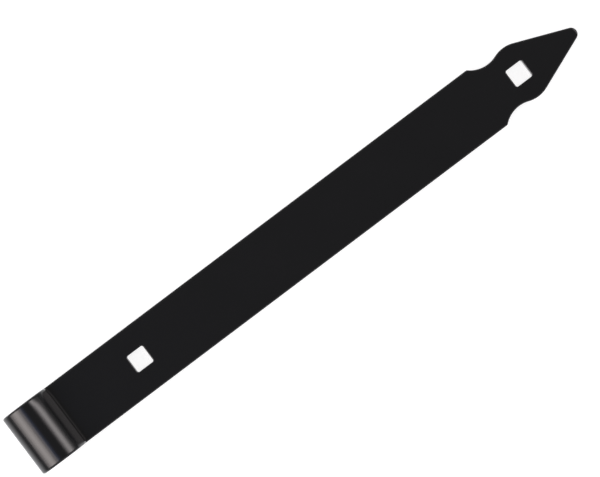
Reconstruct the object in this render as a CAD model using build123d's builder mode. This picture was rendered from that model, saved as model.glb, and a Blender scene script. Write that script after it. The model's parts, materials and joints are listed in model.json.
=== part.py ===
from build123d import *

import os
from math import asin, atan2, degrees, sqrt

# Band half of a hook-and-band hinge: one flat steel bar with a rolled eye and a spear-shaped tip.
#
# Frame, in millimetres: the origin is the centre of the eye's bore, +X runs along the bar to the tip,
# +Y runs along the bore, and +Z points out of the front face. The bar lies on its back face.

# ---- Driving dimensions ----

bar_width = 30.0
bar_thickness = 5.0
bore_radius = 6.6  # turns on a 13 mm hook pin
seam_gap = 0.25  # daylight between the rolled end and the bar

first_hole_x = 51.6
second_hole_x = 259.1
hole_side = 8.6  # takes the square neck of an M8 carriage bolt
hole_corner_radius = 0.8

neck_half_width = 11.45
neck_radius = 13.1
bulge_x = 260.1  # widest place of the spear
bulge_radius = 13.2
tip_end_x = 290.6
tip_radius = 2.95

shoulder_radius = 0.8  # in plan, where the full width ends
edge_radius = 1.0  # all the way round both faces

# ---- Worked out from them ----

half_width = bar_width / 2
eye_radius = bore_radius + bar_thickness
front_z = -bore_radius
back_z = -eye_radius

# The rolled end stops where its outer corner comes within seam_gap of the front face.
end_angle = degrees(asin((front_z + seam_gap) / eye_radius))
bottom_angle = 270.0
roll_angle = bottom_angle - end_angle

# The neck circle touches the bulge circle from outside, and the shoulder is where it meets the full width.
neck_y = neck_half_width + neck_radius
neck_x = bulge_x - sqrt((neck_radius + bulge_radius) ** 2 - neck_y**2)
shoulder_x = neck_x - sqrt(neck_radius**2 - (neck_y - half_width) ** 2)
shoulder_angle = degrees(atan2(half_width - neck_y, shoulder_x - neck_x))
touch_angle = degrees(atan2(-neck_y, bulge_x - neck_x))

# The straight flank touches both the bulge circle and the tip circle.
tip_x = tip_end_x - tip_radius
flank_angle = 90 - degrees(asin((bulge_radius - tip_radius) / (tip_x - bulge_x)))

os.makedirs("parts", exist_ok=True)

with BuildPart() as strap:
    # The bar seen along its edge: a flat run that curls up, over and back down around the pin.
    with BuildSketch(Plane.XZ) as bent_bar:
        with BuildLine():
            outer = CenterArc((0, 0), eye_radius, bottom_angle, -roll_angle)
            inner = CenterArc((0, 0), bore_radius, bottom_angle, -roll_angle)
            Line(outer @ 1, inner @ 1)
            Polyline(inner @ 0, (tip_end_x, front_z), (tip_end_x, back_z), outer @ 0)
        make_face()
    extrude(amount=half_width, both=True)

    # The plan shape: straight sides to the shoulders, then a neck, a round bulge and flanks to the tip.
    with BuildSketch(Plane.XY.offset(back_z)) as plan:
        with BuildLine():
            neck = CenterArc((neck_x, neck_y), neck_radius, shoulder_angle, touch_angle - shoulder_angle)
            bulge = CenterArc((bulge_x, 0), bulge_radius, 180 + touch_angle, flank_angle - 180 - touch_angle)
            point = CenterArc((tip_x, 0), tip_radius, flank_angle, -flank_angle)
            Line(bulge @ 1, point @ 0)
            Polyline(neck @ 0, (back_z, half_width), (back_z, 0))
            mirror(about=Plane.XZ)
        make_face()
        shoulders = plan.vertices().filter_by(lambda corner: abs(corner.X - shoulder_x) < 0.01)
        fillet(shoulders, radius=shoulder_radius)
    extrude(amount=2 * eye_radius, mode=Mode.INTERSECT)

    # Softened edges along both faces and around the eye's ends. The edges across the bar stay crisp, as
    # sheared, and the upright ones in the outline only join two smooth stretches.
    rim = strap.edges() - strap.edges().filter_by(Axis.Y) - strap.edges().filter_by(Axis.Z)
    fillet(rim, radius=edge_radius)

    # Square holes, punched right through.
    with BuildSketch(Plane.XY.offset(back_z)) as holes:
        with Locations((first_hole_x, 0), (second_hole_x, 0)):
            RectangleRounded(hole_side, hole_side, hole_corner_radius)
    extrude(amount=bar_thickness, mode=Mode.SUBTRACT)

strap.part.label = "strap"
export_step(strap.part, "parts/strap.step")
print("neck and shoulder x", round(neck_x, 2), round(shoulder_x, 2), "flank", round(flank_angle, 2))
print("solids", len(strap.part.solids()), "volume", round(strap.part.volume, 1))
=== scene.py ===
# %% [markdown]
# # A gate hinge strap, from flat bar to black coat
#
# This lesson makes one piece of hardware: the long strap of a hook-and-band hinge. A smith cuts a flat
# steel bar to a spear point, punches two square holes for carriage bolts, and curls the other end into an
# eye that drops over a hook on the gate post. Then the strap is sprayed black. We make it in the same
# order, with the same few moves.
#
# The frame comes first. It holds the strap's size and mounts, so nothing has to be guessed or
# fitted later.

# %% Load the frame
import json
from math import asin, atan2, cos, degrees, pi, radians, sin, sqrt, tan

import bmesh
import bpy
from mathutils import Matrix, Vector
from mathutils.bvhtree import BVHTree


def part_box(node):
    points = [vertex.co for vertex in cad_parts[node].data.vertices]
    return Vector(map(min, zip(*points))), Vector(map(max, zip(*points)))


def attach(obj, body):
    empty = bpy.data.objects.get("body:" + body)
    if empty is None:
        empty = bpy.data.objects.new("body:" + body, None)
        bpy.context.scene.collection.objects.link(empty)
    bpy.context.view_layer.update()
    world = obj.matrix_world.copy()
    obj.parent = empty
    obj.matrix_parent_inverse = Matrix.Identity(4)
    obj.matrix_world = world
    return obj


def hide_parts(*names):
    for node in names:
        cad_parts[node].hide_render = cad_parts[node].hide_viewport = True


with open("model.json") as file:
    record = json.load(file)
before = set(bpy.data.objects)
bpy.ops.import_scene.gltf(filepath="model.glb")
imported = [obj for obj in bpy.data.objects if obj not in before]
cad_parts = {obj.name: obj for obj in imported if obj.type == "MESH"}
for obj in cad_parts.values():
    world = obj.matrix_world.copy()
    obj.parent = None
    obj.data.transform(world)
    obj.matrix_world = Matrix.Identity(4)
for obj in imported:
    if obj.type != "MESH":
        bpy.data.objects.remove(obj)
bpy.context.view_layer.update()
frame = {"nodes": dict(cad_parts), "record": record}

MM = 0.001

# %% [markdown]
# ## Sizes
#
# The mounts say where the pin and the bolts go, and the box says how far the steel reaches. The bar lies on
# its back, so the eye's outside touches both the left end of the box and its floor. Half of the eye's
# outside, less the bore, is the bar's thickness.

# %% Read the driving sizes from the frame
low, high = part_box("strap")
mounts = {mount["name"]: mount for mount in frame["record"]["mounts"]}
bore_radius = mounts["eye_bore"]["dims"]["r_mm"] * MM
eye_radius = -low.z
half_width = high.y
tip_end = high.x
front = -bore_radius
back = -eye_radius
thickness = front - back
hole_xs = [mounts[name]["pos_m"][0] for name in ("first_square_hole", "second_square_hole")]
strap_middle = Vector(((low.x + high.x) / 2, 0, back))
print("bar", round(2 * half_width / MM, 2), "x", round(thickness / MM, 2), "mm")
print("holes", [round(hole_x / MM, 1) for hole_x in hole_xs], "mm from the bore's axis")

# %% [markdown]
# ## The outline, drawn with a compass
#
# The spear is four arcs that flow into each other: a hollow neck on each side, a round bulge about the bolt
# hole, and a small rounded point, with straight flanks between bulge and point. A maker scribes them with
# dividers. We could trace the outline point by point, but arcs stay smooth at any size, and each changes
# with one number. Spinning a single vertex around a centre is the compass: bmesh leaves an edge behind at
# each step. The centres follow from where the arcs touch, so only the radii are chosen.

# %% Work out where the arcs touch
neck_half_width = 11.45 * MM
neck_radius = 13.1 * MM
bulge_x = 260.1 * MM
bulge_radius = 13.2 * MM
tip_radius = 2.95 * MM

bulge = Vector((bulge_x, 0, 0))
tip = Vector((tip_end - tip_radius, 0, 0))
neck_y = neck_half_width + neck_radius
neck = Vector((bulge.x - sqrt((neck_radius + bulge_radius) ** 2 - neck_y**2), neck_y, 0))
shoulder = Vector((neck.x - sqrt(neck_radius**2 - (neck_y - half_width) ** 2), half_width, 0))
flank_lean = asin((bulge_radius - tip_radius) / (tip.x - bulge.x))
print("shoulder at", round(shoulder.x / MM, 2), "mm, flanks lean", round(degrees(flank_lean), 2), "degrees")

# %% Compass and ruler
def heading(start, centre):
    """The direction from an arc's centre to a point on it, as an angle."""
    return atan2(start.y - centre.y, start.x - centre.x)


def compass(mesh, pen, centre, turn, steps):
    """Spins the pen point around a centre and returns where it ends."""
    turned = bmesh.ops.spin(mesh, geom=[pen], cent=centre, axis=(0, 0, 1), dvec=(0, 0, 0), angle=turn,
                            steps=steps, use_merge=False, use_duplicate=False)
    return [item for item in turned["geom_last"] if isinstance(item, bmesh.types.BMVert)][0]


def ruler(mesh, pen, *places):
    """Draws straight lines from the pen point through the places and returns where they end."""
    for place in places:
        pen = bmesh.ops.extrude_vert_indiv(mesh, verts=[pen])["verts"][0]
        pen.co = place
    return pen


# %% [markdown]
# ## Half a blank
#
# The strap is the same on both sides of its centre line, so we draw one half and mirror it. The line runs
# along the edge of the bar, round the spear, and back down the middle, stepping around half of each square
# hole on the way. Each half is then a plain closed loop, which fills with one clean face. The end that will
# be rolled gets a few extra points, closest together near the edge. Each becomes a line along the roll, and
# lets us shape it.

# %% Draw one half of the outline
hole_half = 4.3 * MM
end_points_y = [half_width - inset * MM for inset in (1.9, 2.9, 4.2, 6.0, 8.5, 11.5)]

blank = bmesh.new()
start = blank.verts.new((0, half_width, 0))
shoulder_point = ruler(blank, start, shoulder)
touch = heading(bulge, neck)
pen = compass(blank, shoulder_point, neck, touch - heading(shoulder, neck), 18)
pen = compass(blank, pen, bulge, pi / 2 - flank_lean - (touch + pi), 14)
pen = ruler(blank, pen, tip + tip_radius * Vector((sin(flank_lean), cos(flank_lean), 0)))
pen = compass(blank, pen, tip, flank_lean - pi / 2, 10)

hole_corners = []
for hole_x in reversed(hole_xs):
    pen = ruler(blank, pen, Vector((hole_x + hole_half, 0, 0)), Vector((hole_x + hole_half, hole_half, 0)))
    hole_corners.append(pen)
    pen = ruler(blank, pen, Vector((hole_x - hole_half, hole_half, 0)))
    hole_corners.append(pen)
    pen = ruler(blank, pen, Vector((hole_x - hole_half, 0, 0)))
pen = ruler(blank, pen, Vector((0, 0, 0)), *[Vector((0, y, 0)) for y in reversed(end_points_y)])
blank.edges.new((pen, start))
print("half outline:", len(blank.verts), "points,", len(blank.edges), "edges")

# %% [markdown]
# A punch has slightly rounded corners, or it would crack, and the coat takes the sting out of the
# shoulders. We could round these corners later, in the solid. Bevelling only the corner vertices does it in
# the flat, before there is any thickness to get in the way.

# %% Round the corners in the flat, fill and mirror
hole_corner = 0.8 * MM
shoulder_corner = 0.35 * MM
weld = 0.001 * MM


def round_corners(mesh, points, reach):
    """Rounds flat corners. A vertex bevel reaches this far along both edges."""
    bmesh.ops.bevel(mesh, geom=points, offset=reach, offset_type="OFFSET", segments=5, profile=0.5,
                    affect="VERTICES", material=-1, clamp_overlap=True)


round_corners(blank, hole_corners, hole_corner)
round_corners(blank, [shoulder_point], shoulder_corner)
bmesh.ops.contextual_create(blank, geom=blank.edges[:])
bmesh.ops.mirror(blank, geom=blank.verts[:] + blank.edges[:] + blank.faces[:], matrix=Matrix.Identity(4),
                 merge_dist=weld, axis="Y")
bmesh.ops.translate(blank, verts=blank.verts[:], vec=(0, 0, front))
area = sum(face.calc_area() for face in blank.faces)
print("blank:", len(blank.faces), "faces,", round(area / MM**2), "square mm")

# %% [markdown]
# ## Thickness and softened edges
#
# Extruding the blank gives it the bar's thickness. Rolled bar never has knife edges, and a thick coat
# rounds them further, so every edge around both faces gets a real radius. That radius is what draws a thin
# line of light around black hardware. Solidify and Bevel modifiers could do all this, but the roll comes
# next, and it has to carry the finished section round, so the section is made as real mesh now. The edges
# that will carry on around the eye stay open at the left end, and curl with it.

# %% Extrude the blank and collect its rims
hair = 0.01 * MM

raised = bmesh.ops.extrude_face_region(blank, geom=blank.faces[:])
bmesh.ops.translate(blank, verts=[item for item in raised["geom"] if isinstance(item, bmesh.types.BMVert)],
                    vec=(0, 0, -thickness))
bmesh.ops.recalc_face_normals(blank, faces=blank.faces[:])


def is_flat(face):
    return abs(face.normal.z) > 0.99


def near_hole(point):
    return any(max(abs(point.x - hole_x), abs(point.y)) < hole_half + hair for hole_x in hole_xs)


def rim_edges(mesh, level, inside_holes):
    """Edges at one level between a flat face and an upright wall, without the end that will be rolled."""
    found = []
    for edge in mesh.edges:
        middle = (edge.verts[0].co + edge.verts[1].co) / 2
        corner = sum(is_flat(face) for face in edge.link_faces) == 1
        if corner and abs(middle.z - level) < hair and middle.x > hair:
            if near_hole(middle) == inside_holes:
                found.append(edge)
    return found


def soften(mesh, edges, radius, segments):
    bmesh.ops.bevel(mesh, geom=edges, offset=radius, offset_type="OFFSET", segments=segments, profile=0.5,
                    affect="EDGES", material=-1, clamp_overlap=True, loop_slide=True)


print("solid blank:", len(blank.faces), "faces,", round(blank.calc_volume() / MM**3), "cubic mm")

# %% [markdown]
# Shears round one face's edges more than the other's, so the back gets the larger radius. The holes' rims
# are crisper than both. A punch drags a little steel in with it where it enters, at the front, so that rim
# is the rounder one.

# %% Soften the rims
front_edge = 0.8 * MM
back_edge = 1.3 * MM
front_hole_rim = 0.45 * MM
back_hole_rim = 0.2 * MM

for level, edge_radius, rim_radius in ((front, front_edge, front_hole_rim), (back, back_edge, back_hole_rim)):
    soften(blank, rim_edges(blank, level, inside_holes=False), edge_radius, 6)
    soften(blank, rim_edges(blank, level, inside_holes=True), rim_radius, 4)
print("softened blank:", len(blank.faces), "faces")

# %% [markdown]
# ## Rolling the eye
#
# A press curls the bar around a pin of the bore's size. A Simple Deform modifier bends a bar too, but it
# would have to be coaxed to the right radius. Spinning the bar's end face around the bore gives it exactly:
# the inside of the bar stays on the bore and the outside on the eye, and the rounded edges follow. The turn
# stops where the cut end comes back down to a hair above the front face, as on a real eye, which shows a
# fine seam there.
#
# The spin is given the end's faces with their edges and points. Given the faces alone, it would leave them
# behind, as a wall inside the steel.

# %% Spin the end face around the bore
seam_gap = 0.25 * MM
roll = radians(270) - asin((front + seam_gap) / eye_radius)
roll_steps = 150

end_faces = [face for face in blank.faces
             if face.normal.x < -0.99 and abs(face.calc_center_median().x) < hair]
end_edges = dict.fromkeys(edge for face in end_faces for edge in face.edges)
end_points = dict.fromkeys(point for face in end_faces for point in face.verts)
rolled = bmesh.ops.spin(blank, geom=[*end_faces, *end_edges, *end_points], cent=(0, 0, 0), axis=(0, 1, 0),
                        dvec=(0, 0, 0), angle=roll, steps=roll_steps, use_merge=False, use_duplicate=False)
cut_end = [item for item in rolled["geom_last"] if isinstance(item, bmesh.types.BMFace)]
print("rolled through", round(degrees(roll), 1), "degrees; cut end faces:", len(cut_end))

# %% Soften the cut end and close up the mesh
cut_radius = 0.25 * MM

cut_rim = [edge for face in cut_end for edge in face.edges
           if sum(neighbour in cut_end for neighbour in edge.link_faces) == 1]
soften(blank, cut_rim, cut_radius, 3)
bmesh.ops.remove_doubles(blank, verts=blank.verts[:], dist=weld)
bmesh.ops.recalc_face_normals(blank, faces=blank.faces[:])
open_edges = [edge for edge in blank.edges if len(edge.link_faces) != 2]
print("strap mesh:", len(blank.verts), "points,", len(blank.faces), "faces,", len(open_edges), "open edges,",
      round(blank.calc_volume() / MM**3), "cubic mm")

# %% [markdown]
# ## Not quite round
#
# No press rolls a perfect eye. The last stretch before the cut end is out of the die's grip, so it stays a
# little flatter, and one end of the eye sinks past the crest. Half a millimetre is easy to miss in the
# shape and easy to see in the light. The flatter stretch mirrors a lamp by way of the flat face, in a third
# stripe that is broad and dim, and the sunk end bends the second stripe and fades it before it reaches the
# edge.
#
# We could push these points about by hand with a sculpting brush. Two smooth curves, on how far round and
# how far along the roll each point lies, do it the same way every time. Each point sinks by the deeper of
# the two, and less towards the bore, which the pin keeps round.

# %% Two smooth curves
def smooth_step(value, start, end):
    """Climbs from 0 at the start to 1 at the end."""
    part = min(max((value - start) / (end - start), 0), 1)
    return part * part * (3 - 2 * part)


def smooth_hollow(value, start, end):
    """Climbs from 0 at the start to 1 halfway, and back to 0 at the end."""
    part = min(max((value - start) / (end - start), 0), 1)
    return (1 - cos(2 * pi * part)) / 2


# %% Sink the outside of the roll
flatter_sink = 0.6 * MM
flatter_leans = (38, 98)
corner_sink = 0.5 * MM
corner_leans = (12, 42)
corner_from = 9.5 * MM
margin = 0.1 * MM


def sink_at(lean, y):
    """How far the outside sinks. The lean is in degrees from straight up, over towards the tip."""
    flatter = flatter_sink * smooth_hollow(lean, *flatter_leans)
    corner = corner_sink * smooth_step(lean, *corner_leans) * smooth_step(y, corner_from, half_width)
    return max(flatter, corner)


deepest = 0
for point in blank.verts:
    around = Vector((point.co.x, 0, point.co.z))
    lean = degrees(atan2(around.x, around.z))
    if around.length < eye_radius + margin and point.co.z > front + margin and lean > 0:
        outside = (around.length - bore_radius) / thickness
        sink = sink_at(lean, point.co.y) * outside
        point.co -= around.normalized() * sink
        deepest = max(deepest, sink)
print("deepest sink", round(deepest / MM, 2), "mm")

# %% [markdown]
# ## From mesh to object
#
# The strap takes over from the plain frame part, so we measure how far it strays from that part's surface.
# Smooth shading with weighted normals keeps the big flats flat and lets only the rounded edges turn.

# %% Compare the mesh with the frame part
frame_mesh = frame["nodes"]["strap"].data
frame_surface = BVHTree.FromPolygons([tuple(point.co) for point in frame_mesh.vertices],
                                     [tuple(face.vertices) for face in frame_mesh.polygons])
strays = [frame_surface.find_nearest(point.co)[3] for point in blank.verts]
print("furthest from the frame part:", round(max(strays) / MM, 3), "mm")

# %% Make the object
def make_piece(name, mesh):
    data = bpy.data.meshes.new(name)
    mesh.to_mesh(data)
    mesh.free()
    data.polygons.foreach_set("use_smooth", [True] * len(data.polygons))
    piece = bpy.data.objects.new(name, data)
    bpy.context.scene.collection.objects.link(piece)
    return piece


strap = make_piece("rolled_strap", blank)
normals = strap.modifiers.new("flat faces stay flat", "WEIGHTED_NORMAL")
normals.keep_sharp = True
print(strap.name, "has", len(strap.data.polygons), "faces")

# %% [markdown]
# ## Black powder coat
#
# Powder is sprayed on dry and baked, so it flows into a skin with a faint orange-peel ripple. It is close
# to black, and nearly all that we see of it is light from the lamps, blurred by that skin. A picture of
# orange peel could be laid over the steel, but it would need unwrapping and would show its seams. Noise in
# the object's own coordinates has neither fault. A tiny class lets us write shader maths as ordinary
# Python: each operator adds the Math node that it stands for.

# %% A finish is a node tree that we can write like a sum
class Wire:
    """An output socket that can be added and multiplied."""

    def __init__(self, finish, socket):
        self.finish = finish
        self.socket = socket

    def combine(self, operation, other):
        return self.finish.node("ShaderNodeMath", {"operation": operation}, {0: self, 1: other})

    def __add__(self, other):
        return self.combine("ADD", other)

    def __mul__(self, other):
        return self.combine("MULTIPLY", other)

    __radd__ = __add__
    __rmul__ = __mul__


def set_stops(ramp, stops):
    """Gives a colour ramp its stops, each a place from 0 to 1 and a colour."""
    while len(ramp.elements) < len(stops):
        ramp.elements.new(1.0)
    for element, (place, colour) in zip(ramp.elements, stops):
        element.position = place
        element.color = colour


class Finish:
    """The node tree of a material or a world. It starts empty, and its one method makes any node."""

    def __init__(self, owner):
        owner.use_nodes = True
        self.tree = owner.node_tree
        self.tree.nodes.clear()

    def node(self, kind, settings, sockets, output=0):
        """Adds a node with its settings, fills or links its inputs, and returns one of its outputs."""
        made = self.tree.nodes.new(kind)
        for name, value in settings.items():
            if name == "stops":
                set_stops(made.color_ramp, value)
            else:
                setattr(made, name, value)
        for name, value in sockets.items():
            if isinstance(value, Wire):
                self.tree.links.new(value.socket, made.inputs[name])
            else:
                made.inputs[name].default_value = value
        return Wire(self, made.outputs[output]) if made.outputs else None


# %% Mix the black coat
def black_coat():
    material = bpy.data.materials.new("black powder coat")
    coat = Finish(material)
    place = coat.node("ShaderNodeTexCoord", {}, {}, "Object")
    ripple = coat.node("ShaderNodeTexNoise", {}, {"Vector": place, "Scale": 700.0, "Detail": 2.0}, "Fac")
    cloud = coat.node("ShaderNodeTexNoise", {}, {"Vector": place, "Scale": 45.0, "Detail": 3.0}, "Fac")
    grain = coat.node("ShaderNodeTexNoise", {}, {"Vector": place, "Scale": 4000.0, "Detail": 1.0}, "Fac")
    height = ripple * 0.8 + grain * 0.2
    peel = coat.node("ShaderNodeBump", {},
                     {"Strength": 0.12, "Distance": 0.1 * MM, "Height": height}, "Normal")
    roughness = 0.15 + 0.04 * cloud + 0.02 * grain
    cool_black = (0.0022, 0.0022, 0.0028, 1)
    warm_black = (0.0030, 0.0029, 0.0036, 1)
    shade = coat.node("ShaderNodeMix", {"data_type": "RGBA"},
                      {"Factor": cloud, "A": cool_black, "B": warm_black}, "Result")
    skin = coat.node("ShaderNodeBsdfPrincipled", {},
                     {"Base Color": shade, "Roughness": roughness, "Normal": peel, "IOR": 1.6}, "BSDF")
    coat.node("ShaderNodeOutputMaterial", {}, {"Surface": skin})
    print(material.name, "has", len(coat.tree.nodes), "nodes")
    return material


strap.data.materials.append(black_coat())
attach(strap, "root")
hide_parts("strap")

# %% [markdown]
# ## The table and the backdrop
#
# Black hardware is shown on white, because its outline is half of what we see. The strap lies on its back
# on a wide white sheet. The sheet's glow is painted light: an emission, strongest under the strap and
# fading gently with distance like a pool of light, which washes out the shade in the two square holes and
# around the strap, so that they stay as clean as the ground, and lets the sheet read as a floor from a low
# camera. The coat doesn't mirror the sheet. The room below stands in for it, and gives a cleaner rim to
# the eye.

# %% Lay the white sheet
def white_sheet_with_painted_glow(middle):
    material = bpy.data.materials.new("white sheet")
    paper = Finish(material)
    place = paper.node("ShaderNodeTexCoord", {}, {}, "Object")
    fibre = paper.node("ShaderNodeTexNoise", {}, {"Vector": place, "Scale": 60.0, "Detail": 4.0}, "Fac")
    shade = paper.node("ShaderNodeMix", {"data_type": "RGBA"},
                       {"Factor": fibre, "A": (0.33, 0.33, 0.33, 1), "B": (0.37, 0.37, 0.37, 1)}, "Result")
    # Painted light: an emission pool, strongest near the strap and fading outwards, washes out shade on the
    # sheet.
    away = paper.node("ShaderNodeVectorMath", {"operation": "DISTANCE"}, {0: place, 1: middle}, "Value")
    glow = paper.node("ShaderNodeMapRange", {"interpolation_type": "SMOOTHSTEP"},
                      {"Value": away, "From Min": 0.3, "From Max": 3.5, "To Min": 0.83, "To Max": 0.5},
                      "Result")
    surface = paper.node("ShaderNodeBsdfPrincipled", {},
                         {"Base Color": shade, "Roughness": 0.9, "Specular IOR Level": 0.1,
                          "Emission Color": (1, 1, 1, 1), "Emission Strength": glow}, "BSDF")
    paper.node("ShaderNodeOutputMaterial", {}, {"Surface": surface})
    return material


sheet_radius = 8.0
sheet_mesh = bmesh.new()
bmesh.ops.create_circle(sheet_mesh, cap_ends=True, segments=96, radius=sheet_radius)
bmesh.ops.translate(sheet_mesh, verts=sheet_mesh.verts[:], vec=(0, 0, back))
sheet = make_piece("sheet", sheet_mesh)
sheet.data.materials.append(white_sheet_with_painted_glow(strap_middle))
sheet.visible_glossy = False
print("sheet", 2 * sheet_radius, "m across, at", round(back / MM, 1), "mm")

# %% [markdown]
# ## Light
#
# A round black bar is lit by what it mirrors. Small round lamps would only dot it with glints. Two long
# soft boxes stand either side of the eye, lengthways along the pin, and each draws one bright stripe on the
# roll. Between them it mirrors the dark ceiling above the camera, and so does the whole flat face, which is
# why the flat stays deep black.
#
# Each soft box is a few panels of different width, one behind another, so that its stripe fades at the
# edges as light through cloth does. The panels stand a hand's breadth or more apart, because Blender's
# reflections pick up only one of several lamps in the same plane. Weak skirts further out, and a bluish box
# near the crest, tint what is left between the stripes.

# %% Build a soft box
def soft_box(name, lean, spread, brightness, colour, reach, distance):
    """A panel that faces the eye. Lean, from straight up towards the tip, and spread are in degrees."""
    width = 2 * distance * tan(radians(spread / 2))
    length = reach[1] - reach[0]
    lamp = bpy.data.lights.new(name, "AREA")
    lamp.shape = "RECTANGLE"
    lamp.size = width
    lamp.size_y = length
    lamp.color = colour
    lamp.energy = brightness * pi * width * length
    box = bpy.data.objects.new(name, lamp)
    bpy.context.scene.collection.objects.link(box)
    towards = Vector((sin(radians(lean)), 0, cos(radians(lean))))
    box.location = towards * distance + Vector((0, sum(reach) / 2, 0))
    box.rotation_euler = (0, radians(lean), 0)
    box.visible_camera = False
    print(name, "leans", lean, "degrees,", round(width, 2), "x", round(length, 2), "m")


# %% Set up the soft boxes
nearest_panel = 4.0
panel_gap = 0.25
behind_panels = nearest_panel + 3 * panel_gap
left_reach = (-1.2, 1.8)
right_reach = (-1.2, 1.6)

for layer, (spread, glow) in enumerate(((16, 1.05), (36, 2.15), (60, 1.7))):
    soft_box(f"left box {layer}", -52, spread, glow, (1.0, 0.92, 0.90), left_reach,
             nearest_panel + panel_gap * layer)
for layer, (spread, glow) in enumerate(((12, 1.65), (26, 1.75), (40, 0.8))):
    soft_box(f"right box {layer}", 46, spread, glow, (1.0, 0.94, 0.94), right_reach,
             nearest_panel + panel_gap * layer)
soft_box("left skirt", -77, 14, 0.4, (1.0, 0.96, 0.94), left_reach, behind_panels)
soft_box("right skirt", 66, 28, 0.5, (1.0, 0.96, 0.98), right_reach, behind_panels)
soft_box("cool box", -20, 17, 0.45, (0.38, 0.52, 1.0), left_reach, behind_panels)

# %% [markdown]
# The world is a dim room with a pale ceiling above the camera, which gives the flat face its deep even
# grey. A pale band along the horizon carries the sheet on where its far edge would show from a low camera.
# Below the horizon the world stands in for the sheet in the coat's reflections: bright underfoot and dark
# further off, so that the outside of the eye turns quickly from a bright rim to black. The two long walls,
# either side of the strap, are paler, and pick out its edges and ends when we look along the eye.
#
# A real room could be built around the strap, at the cost of more light to trace. A colour ramp on the
# height of each direction says the same: each band is a height, from -1 straight down to 1 straight up, and
# a shade.

# %% Paint the room
bands = ((-0.5, 1.0), (-0.1, 0.1), (-0.04, 0.1), (-0.03, 0.6),
         (0.026, 0.6), (0.05, 0.05), (0.75, 0.05), (0.95, 0.175))


def paint_room(world):
    room = Finish(world)
    direction = room.node("ShaderNodeTexCoord", {}, {}, "Generated")
    up = room.node("ShaderNodeSeparateXYZ", {}, {"Vector": direction}, "Z")
    across = room.node("ShaderNodeSeparateXYZ", {}, {"Vector": direction}, "Y")
    stops = [((level + 1) / 2, (shade, shade, 1.02 * shade, 1)) for level, shade in bands]
    layers = room.node("ShaderNodeValToRGB", {"stops": stops}, {"Fac": up * 0.5 + 0.5}, "Color")
    aside = room.node("ShaderNodeMath", {"operation": "ABSOLUTE"}, {0: across})
    walls = room.node("ShaderNodeMapRange", {"interpolation_type": "SMOOTHSTEP"},
                      {"Value": aside, "From Min": 0.35, "From Max": 0.8}, "Result")
    paint = room.node("ShaderNodeMix", {"data_type": "RGBA"},
                      {"Factor": walls, "A": layers, "B": (0.6, 0.6, 0.61, 1)}, "Result")
    glow = room.node("ShaderNodeBackground", {}, {"Color": paint})
    room.node("ShaderNodeOutputWorld", {}, {"Surface": glow})
    print("the room has", len(bands), "bands and", len(room.tree.nodes), "nodes")


bpy.context.scene.world = bpy.data.worlds.new("studio")
paint_room(bpy.context.scene.world)

# %% [markdown]
# ## Camera
#
# A long lens looks straight down on the flat face from about a metre and a third, so the strap's sides stay
# parallel. A wide lens close by would splay them. The camera is turned about its own axis until the strap
# rises to the right. The Standard view transform leaves whites white and blacks black.

# %% Place the camera
camera_height = 1.356
camera_offset = -0.3 * MM
view_width = 0.2624
strap_rise = 37.0

camera_data = bpy.data.cameras.new("camera")
camera_data.sensor_width = 36.0
camera_data.lens = camera_data.sensor_width * camera_height / view_width
camera = bpy.data.objects.new("camera", camera_data)
camera.location = (strap_middle.x + camera_offset, 0, front + camera_height)
camera.rotation_euler = (0, 0, -radians(strap_rise))
bpy.context.scene.collection.objects.link(camera)
bpy.context.scene.camera = camera
bpy.context.scene.view_settings.view_transform = "Standard"
print("lens", round(camera_data.lens, 1), "mm")
